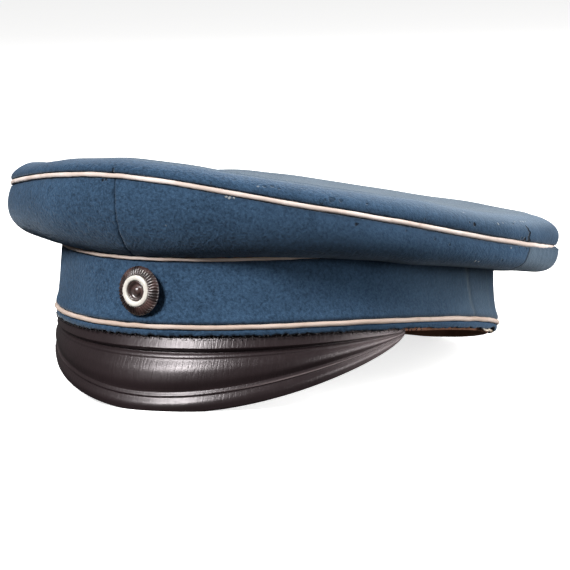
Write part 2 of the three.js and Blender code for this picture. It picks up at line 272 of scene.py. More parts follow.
CROWN_ROWS = {
    "piping": [53.2, 44.2, 35.5, 34.8, 40.7, 49.1, 47.9, 49.2],
    "ridge": [59.8, 52.9, 47.0, 48.1, 53.6, 59.9, 56.0, 55.6],
    "dip": [-2.0, 3.6, 10.0, 8.6, 4.0, 3.0, 4.0, 2.0],
    "tuck": [14.0, 15.0, 13.5, 11.5, 12.5, 16.0, 18.0, 17.0],
    "bulge": [0.7, 3.2, 3.5, 4.0, 3.3, 3.5, 5.0, 6.0],
    "swell": [0.2, 1.4, 2.8, 4.8, 2.8, 1.2, 1.0, 1.4],
}
UP = np.array([0.0, 0.0, 1.0])
print("crown:", 2 * CROWN["front"], "by", 2 * CROWN["side"], "mm")


# %% Places on the cap
def tipped(points, degrees):
    """Points turned about X, so that what faces the rear, +Y, goes towards +Z."""
    x, y, z = np.moveaxis(np.asarray(points, float), -1, 0)
    cos, sin = math.cos(math.radians(degrees)), math.sin(math.radians(degrees))
    return np.stack([x, y * cos - z * sin, y * sin + z * cos], -1)


def placed(points):
    """Points of the cap's frame, in millimetres, as they stand at rest, in metres: turned back by
    REST_LEAN, moved by REST_SHIFT, and lifted to the floor where they would pass it."""
    stood = tipped(points, -REST_LEAN) + REST_SHIFT
    stood[..., 2] = np.maximum(stood[..., 2], 0.0)
    return stood / 1000


def crown_value(column, direction):
    """A column of the crown table at any direction: a Catmull-Rom curve that closes on itself."""
    values = np.array(CROWN_ROWS[column])
    place = np.mod(direction, 360) / 45
    row = np.floor(place).astype(int)
    t = place - row
    a, b, c, d = (values[(row + step) % 8] for step in (-1, 0, 1, 2))
    return b + 0.5 * t * (c - a + t * (2 * a - 5 * b + 4 * c - d + t * (3 * (b - c) + d - a)))


def ellipse_point(direction, side, front, forward, z):
    """A point of a level ellipse that is moved forward, at height z."""
    turn = np.radians(np.asarray(direction, float))
    place = side * np.sin(turn), -front * np.cos(turn) - forward, z
    return np.stack(np.broadcast_arrays(*place), -1)


def outward(direction):
    """The level unit vector that points away from the cap's middle."""
    return ellipse_point(direction, 1.0, 1.0, 0.0, 0.0)


def band_point(direction, out, height):
    """A point of the band's ellipses, which lean forward as they rise and dip at front and rear.
    out is how far it stands out, and height is above the lower piping."""
    lean = BAND["lean"] * np.maximum(height, 0) / BAND["height"]
    z = height - BAND["saddle"] * np.cos(2 * np.radians(direction))
    return ellipse_point(direction, BAND["side"] + out, BAND["front"] + out, lean, z)


def crown_point(direction, inset, z):
    """A point of the crown's ellipse, inset from the crown piping's outermost line."""
    return ellipse_point(direction, CROWN["side"] - inset, CROWN["front"] - inset, -CROWN["back"], z)


def bezier(start, leave, arrive, end, share):
    """A cubic curve from start to end, drawn towards its two handles."""
    t = share[..., None]
    s = 1 - t
    return s**3 * start + 3 * s * s * t * leave + 3 * s * t * t * arrive + t**3 * end


def through_rows(places, values, at):
    """A smooth curve through a table: a cubic between two rows, whose slope at each row is
    the slope of the rows round it."""
    places, values = np.asarray(places, float), np.asarray(values, float)
    slopes = np.gradient(values, places)
    at = np.clip(at, places[0], places[-1])
    row = np.clip(np.searchsorted(places, at, side="right") - 1, 0, len(places) - 2)
    width = places[row + 1] - places[row]
    t = (at - places[row]) / width
    return (values[row] * (1 + 2 * t) * (1 - t) ** 2 + values[row + 1] * t * t * (3 - 2 * t)
            + width * (slopes[row] * t * (1 - t) ** 2 + slopes[row + 1] * t * t * (t - 1)))


# %% Small sums that many pieces use
def hill(distance, width):
    """A smooth hill, 1 high at distance 0: e to the power of minus (distance / width) squared."""
    return np.exp(-((distance / width) ** 2))


def fading(distance, length):
    """1 at distance 0, and less further on: e to the power of minus distance / length."""
    return np.exp(-distance / length)


def ramp(value, start, end):
    """0 at start and 1 at end, straight between them and level beyond. end may be below start."""
    return np.clip((value - start) / (end - start), 0, 1)


def from_front(direction):
    """A direction as degrees to the left of the front, from -180 to 180."""
    return np.mod(direction + 180, 360) - 180


def turned_in(distance, radius):
    """How far cloth lies back at a distance from a seam: a quarter circle of that radius."""
    near = np.clip(1 - distance / radius, 0, 1)
    return radius * (1 - np.sqrt(1 - near**2))


def turned_edges(climb, radius):
    """How far a strip lies back at both edges, where climb is the way up from its foot."""
    return turned_in(climb, radius) + turned_in(climb[:, -1:] - climb, radius)


def uneven(direction, size):
    """A wobble from -1 to 1 round the cap that never quite repeats: a sine wave size mm long,
    whose phase is pushed to and fro by a wave four times as long."""
    turns = np.round(GIRTH / size)
    turn = np.radians(direction)
    return np.sin(turn * turns + 1.9 * np.sin(turn * np.round(turns / 4.3)) + 2.7 * np.sin(turn * 7))


WAVES = np.random.default_rng(7)
WAVE_ROWS = [(WAVES.uniform(-1, 1, 3), WAVES.uniform(0, 2 * np.pi), size)
             for size in (70, 52, 41, 33, 27, 22)]


def slow_waves(points):
    """A sum of six sine waves through space, the longer ones higher, about 1 high in all."""
    total = np.zeros(points.shape[:-1])
    for direction, start, size in WAVE_ROWS:
        direction = direction / np.linalg.norm(direction)
        total += np.sin(points @ direction * 2 * np.pi / size + start) * size / 110
    return total


print("slow waves at the middle:", round(float(slow_waves(np.zeros(3))), 3), "mm")

# %% [markdown]
# ## From grids to closed meshes
#
# Each piece is a wall: an outer grid of points, and an inner grid a wall's thickness behind it.
# Joined into one loop for each section they give a closed body.


# %% Mesh helpers
def crowded(count, share=0.85):
    """count + 1 numbers from 0 to 1 that lie closer together near both ends."""
    u = np.linspace(0, 1, count + 1)
    return u - share * np.sin(2 * np.pi * u) / (2 * np.pi)


def grid(first, second):
    """Two rows of numbers as two grids: each of the first beside each of the second."""
    return np.meshgrid(first, second, indexing="ij")


def all_round(count, share):
    """The grid of count directions round the cap and the given shares."""
    return grid(np.linspace(0, 360, count, endpoint=False), share)


def run_lengths(points, axis):
    """How far each grid point lies along the grid's lines, from their start."""
    steps = np.linalg.norm(np.diff(points, axis=axis), axis=-1)
    pad = [(0, 0), (0, 0)]
    pad[axis] = (1, 0)
    return np.pad(np.cumsum(steps, axis=axis), pad)


def normals_of(points, around):
    """Unit normals of a grid, away from its middle: the cross product of its two directions. At a
    pole, where the last column is one point, it is that of the column beside."""
    if around:
        along = np.roll(points, -1, 0) - np.roll(points, 1, 0)
    else:
        along = np.gradient(points, axis=0)
    normal = np.cross(along, np.gradient(points, axis=1))
    if np.ptp(points[:, -1], axis=0).max() < 1e-6:
        normal[:, -1] = normal[:, -2].mean(0)
    normal /= np.maximum(np.linalg.norm(normal, axis=-1, keepdims=True), 1e-9)
    middle = points.reshape(-1, 3).mean(0)
    return normal * np.sign(np.median(np.einsum("ijk,ijk->ij", normal, points - middle)))


def quads(rows, columns, around):
    """The squares between neighbouring points of closed sections: the numbers of their corners,
    and the row and column steps at which those lie."""
    i, j = grid(np.arange(rows if around else rows - 1), np.arange(columns))
    steps = np.stack([i, j, i + 1, j, i + 1, j + 1, i, j + 1], -1).reshape(-1, 4, 2)
    return steps[..., 0] % rows * columns + steps[..., 1] % columns, steps


def closed_mesh(name, loops, around, material, slot, **marks):
    """A closed body from a grid of sections, each a loop of points out along the outer face and
    back along the inner one. They join into a ring, or else the two end sections get a strip
    of faces. The UV map, in metres, runs along the sections and round each loop. Faces turn
    over if the volume that they close comes out negative."""
    rows, columns = loops.shape[:2]
    corners, steps = quads(rows, columns, around)
    along = run_lengths(np.concatenate([loops, loops[:1]]), 0).mean(1)
    over = run_lengths(np.concatenate([loops, loops[:, :1]], 1), 1).mean(0)
    uv = np.stack([along[steps[..., 0]], over[steps[..., 1]]], -1)
    if not around:
        j = np.arange(columns // 2 - 1)
        strip = np.stack([j, j + 1, columns - 2 - j, columns - 1 - j], -1)
        ends = np.concatenate([strip[:, ::-1], strip + (rows - 1) * columns])
        corners = np.concatenate([corners, ends])
        uv = np.concatenate([uv, np.zeros((len(ends), 4, 2))])
    flat = loops.reshape(-1, 3)
    a, b, c, d = (flat[corners[:, k]] for k in range(4))
    if (a * (np.cross(b, c) + np.cross(c, d))).sum() < 0:
        corners, uv = corners[:, ::-1], uv[:, ::-1]
    dressed(name, flat, corners, uv, material, slot, **marks)


def dressed(name, flat, corners, uv, material, slot, **marks):
    """Puts points, faces, UVs and marks into a mesh and merges points that share a place, which
    closes poles. The mesh rides on the cap in place of the CAD node of its name, if any."""
    mesh = bpy.data.meshes.new(name)
    mesh.from_pydata(flat, [], corners)
    mesh.uv_layers.new(name="cut").data.foreach_set("uv", uv.astype(np.float32).ravel())
    for key, values in marks.items():
        mark = mesh.attributes.new(key, "FLOAT", "POINT")
        mark.data.foreach_set("value", values.astype(np.float32).ravel())
    work = bmesh.new()
    work.from_mesh(mesh)
    bmesh.ops.remove_doubles(work, verts=work.verts, dist=1e-7)
    bmesh.ops.dissolve_degenerate(work, dist=1e-8, edges=work.edges)
    work.to_mesh(mesh)
    work.free()
    mesh.shade_smooth()
    mesh.materials.append(material)
    piece = bpy.data.objects.new(name, mesh)
    bpy.context.scene.collection.objects.link(piece)
    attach(piece, "root")
    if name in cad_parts:
        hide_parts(name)
    print(f"{name}: {len(mesh.vertices)} points, {len(mesh.polygons)} faces")


SEAM = {"near": 0.9, "toward": 0.85, "reach": 2.4, "cloth": 0.8}


def wall_piece(name, direction, base, relief, thickness, around, material, slot, seams=(), **marks):
    """A wall as a closed body: the base grid raised by relief, and the base moved in by a thickness.
    Each edge named in seams, foot or head, closes on the piping there and runs on into the
    seam. Both faces carry the marks, and the mark "inside" tells them apart."""
    normal = normals_of(base, around)
    outer, inner = base + relief[..., None] * normal, base - thickness * normal
    pad = [0, 0]
    for edge, end, side in (("foot", 0, -1), ("head", 1, 1)):
        if edge not in seams:
            continue
        away = outward(direction[:, -end])
        near = outer[:, -end] - SEAM["near"] * away + side * SEAM["toward"] * UP
        run = np.stack([near, near - SEAM["reach"] * away], 1)[:, ::side]
        outer = np.concatenate([run, outer][::-side], 1)
        inner = np.concatenate([run - side * SEAM["cloth"] * UP, inner][::-side], 1)
        pad[end] = 2
    loops = np.concatenate([outer, inner[:, ::-1]], 1)
    padded = {key: np.pad(values, [(0, 0), pad], mode="edge") for key, values in marks.items()}
    both = {key: np.concatenate([values, values[:, ::-1]], 1) for key, values in padded.items()}
    both["inside"] = np.concatenate([np.zeros(outer.shape[:2]), np.ones(inner.shape[:2])], 1)
    closed_mesh(name, placed(loops), around, material, slot, **both)


# %% [markdown]
# ## Blue wool
#
# The cloth is a fulled wool: a soft, matt felt whose weave hardly shows. Close up it is a
# mottle of lighter and darker fibres about a millimetre across. Sheen gives it a pale bloom
# where it turns away. Worn ridges are greyer, and moths have nipped it. Painted shade darkens
# it along seams and pipings, and painted side light and sheen make some parts paler and greyer.

# %% Blue wool
WOOL = {
    "deep": dye(27, 45, 64),
    "light": dye(66, 93, 121),
    # The grey is worn, dusty cloth and also painted side light and sheen; the dark blue below it is dirt and
    # also painted shade at seams and pipings.
    "worn": dye(100, 112, 120),
    "dirt_and_shade": dye(20, 25, 34),
    "nip": dye(15, 18, 25),
    "lint": dye(176, 180, 180),
    "sheen": dye(190, 204, 218),
}
FRAY = 0.0013  # metres


def spots(cloth, places, rough):
    """The strongest of the soft round spots at places, each eaten into by the noise rough."""
    most = None
    for place, radius, strength in places:
        away = cloth.node("VectorMath", {"operation": "DISTANCE"},
                          {0: cloth.place, 1: place}, output="Value")
        spot = (away + (rough - 0.5) * FRAY).between(radius, radius * 0.5) * strength
        most = spot if most is None else cloth.maths("MAXIMUM", most, spot)
    return most


def wool(name, nips=(), lint=()):
    """Wool of two blues in fine and coarse mottles. It turns greyer where the mesh marks wear and
    painted side light, and darker where it marks dirt and painted shade. nips
    and lint are rows of place and radius, in metres, and strength, from 0.3 for faint to 1."""
    cloth = Finish(name)
    fuzz = cloth.noise(900, 2, rough=0.75)
    nap = cloth.noise(420, 2)
    cloud = cloth.noise(42, 2)
    nappy = 1.15 - cloth.mark("felted") * 0.5
    tone = ((fuzz - 0.5) * 1.5 + (nap - 0.5) * 0.55) * nappy + (cloud - 0.5) * 0.5 + 0.5
    colour = cloth.blend(WOOL["deep"], WOOL["light"], tone.held())
    # Greyer where the mesh marks wear and painted side light and sheen; darker where it marks dirt and
    # painted shade.
    worn = cloth.mark("worn") * (0.55 + nap * 0.45 + (cloud - 0.5) * 0.8)
    colour = cloth.blend(colour, WOOL["worn"], worn.held())
    grime = cloth.mark("grime") * (0.6 + fuzz * 0.8)
    colour = cloth.blend(colour, WOOL["dirt_and_shade"], grime.held())
    height = (fuzz * 0.6 + nap * 0.4) * nappy
    if nips:
        hole, fibre = spots(cloth, nips, cloth.noise(700, 2)), spots(cloth, lint, cloth.noise(1400, 2))
        colour = cloth.blend(colour, WOOL["nip"], hole * 0.95)
        colour = cloth.blend(colour, WOOL["lint"], fibre * 0.8)
        height = height - hole * 1.4 + fibre * 0.8
    return cloth.done(Base_Color=colour, Normal=cloth.relief(0.8, 0.0009, height), Roughness=0.95,
                      Specular_IOR_Level=0.1, Sheen_Weight=0.3, Sheen_Roughness=0.45,
                      Sheen_Tint=WOOL["sheen"])


def felted(direction):
    """How far the nap is rubbed flat: not at all in front, and fully from the wearer's left side to
    the rear, with a ramp 45 degrees wide at each end."""
    turn = np.mod(direction + 90, 360) - 90
    return ramp(turn, 25, 70) * ramp(turn, 245, 200)


# %% [markdown]
# ## Crown: four side panels and a top
#
# The side of the crown is cut from four quarter panels. Each one is a cubic curve that leaves the
# band outwards, sags into a belly and turns up to the crown piping. The cloth is turned in at
# its seams by a quarter of a circle: tightly at the sides, and as a soft valley in the middle
# of front and rear. Slow waves and small puckers keep the surface from looking cast.


# %% Crown surfaces
PANEL = {"foot_out": 0.35, "foot_height": 27.05, "handle": 7.5}
ROLL = {"share": 0.5, "width": 13.0, "rise": 0.5, "handle": 8.0, "drop": 0.6, "dish": 1.5}


def side_panel(direction, share):
    """From the upper band piping (share 0) to the crown piping (share 1)."""
    foot = band_point(direction, PANEL["foot_out"], PANEL["foot_height"])
    head = crown_point(direction, CROWN["inset"], crown_value("piping", direction) - PIPING["crown"] - GAP)
    away = outward(direction)
    leave = foot + PANEL["handle"] * away - crown_value("dip", direction)[..., None] * UP
    arrive = (head + crown_value("bulge", direction)[..., None] * away
              - crown_value("tuck", direction)[..., None] * UP)
    return bezier(foot, leave, arrive, head, share)


def crown_top(direction, share):
    """From the crown piping (share 0) up the roll to its crest, then down a shallow dish to the
    middle (share 1). The dish falls as the power 1.5 of the way to the crest."""
    piping, ridge = crown_value("piping", direction), crown_value("ridge", direction)
    crest = crown_point(direction, ROLL["width"], ridge)
    foot = crown_point(direction, CROWN["inset"], piping + PIPING["crown"] + GAP)
    away = outward(direction)
    leave = (foot + crown_value("swell", direction)[..., None] * away
             + (ROLL["rise"] * (ridge - piping))[..., None] * UP)
    arrive = crest + ROLL["handle"] * away - ROLL["drop"] * UP
    roll = bezier(foot, leave, arrive, crest, ramp(share, 0, ROLL["share"]))
    inward = ramp(share, ROLL["share"], 1)
    middle = np.array([0, CROWN["back"], CROWN["centre"]])
    dish = crest + (middle - crest) * inward[..., None]
    dish[..., 2] = CROWN["centre"] + (ridge - CROWN["centre"]) * (1 - inward) ** ROLL["dish"]
    return np.where((share <= ROLL["share"])[..., None], roll, dish)


# %% Moth nips and lint, as direction, share on the surface, radius in mm and strength
TOP_NIPS = [
    (94.4, 0.18, 0.85, 1), (94.9, 0.155, 0.75, 1), (94.7, 0.13, 0.85, 1), (95.2, 0.1, 0.95, 1),
    (95.0, 0.075, 1.15, 1), (94.7, 0.05, 1.0, 1), (94.9, 0.025, 1.15, 1), (95.3, 0.0, 1.5, 1),
    (93.2, 0.015, 1.1, 1), (92.0, 0.03, 0.5, 0.8), (90.4, 0.0, 0.6, 0.7), (112.7, 0.17, 1.0, 0.8),
    (112.0, 0.2, 0.6, 0.7), (76.2, 0.106, 0.95, 1), (74.9, 0.115, 0.5, 0.8), (44.6, 0.121, 1.5, 0.5),
    (46.4, 0.13, 1.1, 0.45), (43.3, 0.1, 0.8, 0.4), (51.6, 0.137, 0.6, 0.6), (89.5, 0.208, 0.7, 0.6),
    (-0.7, 0.07, 0.8, 0.8), (-0.6, 0.035, 0.7, 0.9), (-0.6, 0.0, 0.9, 1), (42.6, 0.02, 0.6, 0.6),
    (33.0, 0.21, 0.9, 0.4), (31.4, 0.17, 0.9, 0.4), (34.4, 0.18, 0.6, 0.35), (64.0, 0.05, 0.5, 0.5),
    (83.0, 0.12, 0.4, 0.6), (21.0, 0.06, 0.5, 0.5),
]
SIDE_NIPS = [
    (49.7, 0.945, 0.8, 0.9), (66.5, 0.93, 0.6, 0.5), (-3.0, 0.985, 0.9, 1), (-2.2, 0.995, 0.8, 1),
    (-1.0, 0.03, 0.7, 0.8), (86.0, 0.8, 0.5, 0.5), (60.0, 0.96, 0.5, 0.5), (70.2, 0.9, 0.45, 0.5),
    (94.0, 0.985, 0.9, 0.8), (91.0, 0.99, 0.6, 0.7),
]
TOP_LINT = [
    (58.9, 0.372, 0.55, 0.6), (75.0, 0.29, 0.6, 0.5), (83.7, 0.172, 0.55, 0.6), (85.6, 0.2, 0.45, 0.4),
    (94.0, 0.262, 0.55, 0.7), (95.2, 0.266, 0.65, 0.9), (96.6, 0.272, 0.55, 0.7), (91.0, 0.245, 0.4, 0.5),
    (35.8, 0.5, 0.8, 0.5), (30.2, 0.15, 0.5, 0.4), (100.5, 0.35, 0.5, 0.5),
]
SIDE_LINT = [
    (78.4, 0.737, 0.7, 0.8), (79.4, 0.74, 0.5, 0.6), (24.2, 0.99, 0.6, 0.8), (24.9, 0.985, 0.7, 0.9),
    (25.7, 0.99, 0.6, 0.8), (88.0, 0.97, 0.5, 0.5), (66.0, 0.7, 0.4, 0.5), (12.0, 0.6, 0.4, 0.3),
]


def nip_places(rows, surface):
    """Where the rows lie on a surface, with their radius in metres, and their strength."""
    direction, share = np.array(rows)[:, :2].T
    places = placed(surface(direction, share))
    return [(tuple(place), row[2] / 1000, row[3]) for place, row in zip(places, rows)]


blue_wool = wool("blue_wool")
crown_wool = wool("crown_wool", nip_places(TOP_NIPS, crown_top) + nip_places(SIDE_NIPS, side_panel),
                  nip_places(TOP_LINT, crown_top) + nip_places(SIDE_LINT, side_panel))
print("moth nips:", len(TOP_NIPS) + len(SIDE_NIPS))

# %% Side panels
SEAM_ROLL, SIDE_ROLL, MIDDLE_ROLL, DEEPEST = 0.5, 0.55, 1.1, 1.4
SIDE_SEAM = {"foot": 91.0, "lean": 4.6, "power": 1.5}
PANEL_GRID = {"across": 234, "up": 82}
CALM = 12


def seam_line(kind, share):
    """The direction of a seam at each share of the way up: front and rear seams run straight up
    the middle, and side seams lean forward towards the band."""
    if kind == "side":
        return SIDE_SEAM["foot"] + SIDE_SEAM["lean"] * share ** SIDE_SEAM["power"]
    return (0 if kind == "front" else 180.0) + 0 * share


def at_quarter(direction):
    """A hill with its top at the middle of each rear quarter of the crown."""
    return hill(np.abs(direction - 180) - 58, 24)


def panel_piece(name, start, end, mirrored):
    """One quarter panel between two seam lines; a mirrored one lies at the wearer's right. Its
    relief, in mm, sums slow waves, puckers, a swelling over a hollow at the rear quarters,
    and the turned-in edges."""
    across, up = grid(crowded(PANEL_GRID["across"]), crowded(PANEL_GRID["up"], 0.8))
    direction = seam_line(start, up) + (seam_line(end, up) - seam_line(start, up)) * across
    if mirrored:
        direction = 360 - direction[::-1]
    base = side_panel(direction, up)
    climb, reach = run_lengths(base, 1), run_lengths(base, 0)
    to_foot, to_head = climb, climb[:, -1:] - climb
    to_seam = np.minimum(reach, reach[-1:] - reach)
    at_side = np.abs(np.abs(direction - 180) - 90) < 30
    lay = turned_edges(climb, SEAM_ROLL) + np.where(
        at_side, 0.9 * turned_in(to_seam, SIDE_ROLL), 0.75 * turned_in(to_seam, MIDDLE_ROLL))
    soft = 0.35 * slow_waves(base) * ramp(to_head, 0, CALM) * ramp(to_foot, 0, CALM)
    pucker = 0.1 * (fading(to_head, 3.5) * uneven(direction, 6.5)
                    + fading(to_foot, 3.0) * uneven(direction + 9, 7.5))
    side_pucker = 0.15 * fading(to_seam, 3.0) * np.sin(climb * 1.1 + 1.5 * np.sin(climb * 0.33))
    swell = at_quarter(direction) * (2.3 * fading(to_head, 6) - 1.5 * hill(to_head - 17, 6))
    # Painted shade along the seams and beside both pipings, stronger at the side seams, and a broad darker
    # patch round direction 48.
    grime = (0.35 * fading(to_head, 0.6) + 0.5 * fading(to_foot, 1.2)
             + (0.4 + 0.35 * at_side) * fading(to_seam, 0.6) + 0.16 * hill(direction - 48, 26))
    # Both rear panels are painted paler and greyer all over, as the side light that falls on them.
    worn = np.full(grime.shape, 0.55 if "rear" in name else 0.0)
    relief = soft + swell + pucker + side_pucker - np.minimum(lay, DEEPEST)
    wall_piece(name, direction, base, relief, CROWN["wall"], False, crown_wool, "cloth", ("foot", "head"),
               grime=grime, worn=worn, felted=felted(direction))


panel_piece("side_panel_front_left", "front", "side", False)
panel_piece("side_panel_rear_left", "side", "rear", False)
panel_piece("side_panel_rear_right", "side", "rear", True)
panel_piece("side_panel_front_right", "front", "side", True)

# %% Crown top
TOP_GRID = {"around": 400, "roll": 70, "dish": 36}
WORN_RIDGE = 0.8


def crown_top_piece():
    """The top in one piece: its roll, a faint crease along the crest, and the dish. It swells at
    the rear quarters and the right front, and is worn from just below the crest on. All over the
    roll at the wearer's left it is painted greyer, partly as wear and partly as sheen."""
    roll, dish = crowded(TOP_GRID["roll"], 0.5), np.linspace(0, 1, TOP_GRID["dish"])[1:] ** 1.15
    share = np.concatenate([ROLL["share"] * roll, ROLL["share"] + (1 - ROLL["share"]) * dish])
    direction, share = all_round(TOP_GRID["around"], share)
    base = crown_top(direction, share)
    climb = run_lengths(base, 1)
    crest = climb[:, TOP_GRID["roll"], None]
    soft = 0.3 * slow_waves(base * np.array([1, 1, 0.6])) * ramp(climb, 0, 14) * (1 - share**6)
    pucker = 0.12 * fading(climb, 3.5) * uneven(direction, 7.0)
    crease = 0.35 * hill(climb - crest, 1.6)
    swell = (1.2 * at_quarter(direction) * fading(climb, 9)
             + 2.9 * hill(direction - 301, 29) * hill(share - 0.43, 0.19))
    relief = soft + swell + pucker + crease - turned_in(climb, SEAM_ROLL)
    relief[:, -1] = relief[:, -1].mean()
    above = climb - WORN_RIDGE * crest
    past = ramp(above, -2, 5)
    worn = 0.4 * hill(above, 1.3) + 0.82 * past**2 * (3 - 2 * past)
    # All over the roll at the wearer's left the cloth is painted greyer, partly as wear and partly as sheen.
    at_left = ramp(direction, 40, 75) * ramp(direction, 170, 135)
    worn = np.maximum(worn, 0.36 * at_left * ramp(climb, 1.5, 8.5))
    # Painted shade beside the crown piping, fading over a few millimetres, and dirt beyond the crest.
    grime = 0.35 * fading(climb, 0.6) + 0.2 * fading(climb, 4) + 0.26 * past
    wall_piece("crown_top", direction, base, relief, CROWN["wall"], True, crown_wool, "cloth", ("foot",),
               grime=grime, worn=worn, felted=felted(direction))


crown_top_piece()

# %% [markdown]
# ## Pipings
#
# A piping is a narrow strip of cream cloth folded over a cord, so it is a round bead with a flat
# flange that runs into the seam. Handling has left it browner in places.

# %% Piping cloth and rings
BEAD = {"around": 660, "half_turn": 140, "points": 15}
FLANGE = {"reach": 3.2, "half_thickness": 0.25}


def piping_cloth():
    """Cream twill with faint soil in patches, and browned where the mesh is marked soiled."""
    cream = Finish("cream_piping")
    twill = cream.node("TexWave", {"wave_type": "BANDS", "bands_direction": "DIAGONAL"},
                       {"Vector": cream.stretched(1, 1), "Scale": 900.0, "Distortion": 1.0, "Detail": 1.0,
                        "Detail Scale": 2.0})
    colour = cream.blend(dye(234, 220, 213), dye(209, 191, 181), cream.noise(60, 3).between(0.36, 0.62))
    colour = cream.blend(colour, dye(160, 138, 126), cream.noise(240, 3).between(0.6, 0.78) * 0.5)
    colour = cream.blend(colour, dye(178, 152, 132), cream.mark("soiled"))
    height = twill * 0.25 + cream.noise(1500, 2) * 0.75
    return cream.done(Base_Color=colour, Normal=cream.relief(0.3, 0.0002, height), Roughness=0.85,
                      Specular_IOR_Level=0.2, Sheen_Weight=0.1)


cream_piping = piping_cloth()


def piping_piece(name, centre_line, radius, soiled):
    """A bead and its flange: round for 280 degrees of turn, then flat towards the cap's middle.
    soiled, from 0 to 1, says how far handling has browned its cloth."""
    direction = np.linspace(0, 360, BEAD["around"], endpoint=False)
    turn = np.radians(np.linspace(-BEAD["half_turn"], BEAD["half_turn"], BEAD["points"]))
    thick = radius * (1 + 0.03 * uneven(direction, 23) + 0.02 * uneven(direction, 9))[:, None]
    lift = 0.06 * uneven(direction, 31) + 0.03 * uneven(direction, 14)
    beside, deep = -radius * 1.1, -FLANGE["reach"]
    flange_out = np.tile([beside, deep, deep, beside], (len(direction), 1))
    flange_rise = np.tile([1, 1, -1, -1], (len(direction), 1)) * FLANGE["half_thickness"]
    out = np.concatenate([thick * np.cos(turn), flange_out], 1)
    rise = np.concatenate([thick * np.sin(turn), flange_rise], 1) + lift[:, None]
    centre, away = centre_line(direction)[:, None], outward(direction)[:, None]
    loops = centre + out[..., None] * away + rise[..., None] * UP
    closed_mesh(name, placed(loops), True, cream_piping, "piping_cord",
                soiled=np.full(loops.shape[:2], soiled))


piping_piece("crown_piping", lambda d: crown_point(d, PIPING["crown"], crown_value("piping", d)),
             PIPING["crown"], 0.05)
piping_piece("band_piping_upper",
             lambda d: band_point(d, PIPING["proud"] - PIPING["band_top"], BAND["height"]),
             PIPING["band_top"], 0.3)
piping_piece("band_piping_lower", lambda d: band_point(d, PIPING["foot_proud"], 0.0),
             PIPING["band_foot"], 0.5)

# %% [markdown]
# ## Band and hem
#
# The band is a strip of the same cloth round the head, drawn in at its foot over the lower
# piping. Below that piping a narrow hem shows, and the peak is sewn to it.


# %% Band
BAND_ROWS = {"height": [1.25, 2.8, 5, 9, 15, 25], "out": [2.4, 2.1, 1.4, 0.8, 0.35, 0]}
BAND_JOIN = {"direction": 97.2, "slant": 0.12, "middle": 8, "width": 0.45, "depth": 0.22}


def strip(rows, around, up, low=None):
    """The profile in rows carried round, from its lowest height, or from what low gives for a
    direction, to its highest: each point's direction, height, place and way up the profile."""
    direction, share = all_round(around, up)
    foot = low(direction) if low else rows["height"][0]
    height = foot + (rows["height"][-1] - foot) * share
    base = band_point(direction, through_rows(rows["height"], rows["out"], height), height)
    return direction, height, base, run_lengths(base, 1)


def band_piece():
    """The band, with turned-in edges and a slanting join that is worn pale along its fold. It is
    painted darker as shade along both pipings and beside the join, and paler towards the rear
    as side light and sheen.
    """
    direction, height, base, climb = strip(BAND_ROWS, 460, crowded(56, 0.85))
    to_head = climb[:, -1:] - climb
    soft = 0.22 * slow_waves(base * 1.2) * ramp(climb, 0, 8) * ramp(to_head, 0, 8)
    lean = direction - BAND_JOIN["direction"] + BAND_JOIN["slant"] * (height - BAND_JOIN["middle"])
    join = BAND_JOIN["depth"] * hill(lean, BAND_JOIN["width"])
    pucker = 0.08 * fading(climb, 2.5) * uneven(direction, 6.0)
    # Painted shade along both pipings and in the crease beside the join.
    grime = 0.5 * fading(climb, 0.8) + 0.45 * fading(to_head, 0.9) + 0.35 * hill(lean - 0.8, 0.5)
    # Towards the rear the band is painted paler and greyer as side light and sheen; the pale lines along the
    # join's folds are wear.
    rear = ramp(direction, 60, 100) * ramp(direction, 300, 260)
    worn = 0.35 * rear + 0.6 * hill(lean, 0.5) + 0.3 * hill(lean - 13, 0.6)
    relief = soft + pucker - join - turned_edges(climb, 1.1)
    wall_piece("band", direction, base, relief, BAND["wall"], True, blue_wool, "cloth", ("foot", "head"),
               grime=grime, worn=worn, felted=felted(direction))


band_piece()

# %% Hem
HEM_ROWS = {"height": [-3.7, -2.5, -1.25], "out": [1.5, 1.9, 2.1]}
HEM_WALL = 1.3
TEAR = {"direction": 115.5, "half_width": 3.5, "height": 1.1, "highest": 2.3}
STITCHES = {"reach": 76.0, "step": 1.25, "jitter": 0.45}


def stitch_directions():
    """Directions of the stitches that sew the peak's root, a step apart and slightly uneven."""
    count = int(2 * STITCHES["reach"] / STITCHES["step"])
    even = np.linspace(-STITCHES["reach"], STITCHES["reach"], count)
    return even + np.random.default_rng(3).uniform(-STITCHES["jitter"], STITCHES["jitter"], count)


def hem_edge(direction):
    """Height of the hem's lower edge: wavy, drawn up at each stitch, and torn at the rear left."""
    wavy = 0.15 * uneven(direction, 17) + 0.12 * uneven(direction + 5, 6) + 0.08 * uneven(direction, 3)
    nearest = np.abs(from_front(direction)[..., None] - stitch_directions()).min(-1)
    away = np.abs(from_front(direction - TEAR["direction"])) / TEAR["half_width"]
    torn = TEAR["height"] * np.clip(1.15 - away, 0, 1) ** 0.6 * (1 + 0.4 * uneven(direction, 4))
    return HEM_ROWS["height"][0] + wavy + 0.3 * hill(nearest, 0.3) + np.clip(torn, 0, TEAR["highest"])


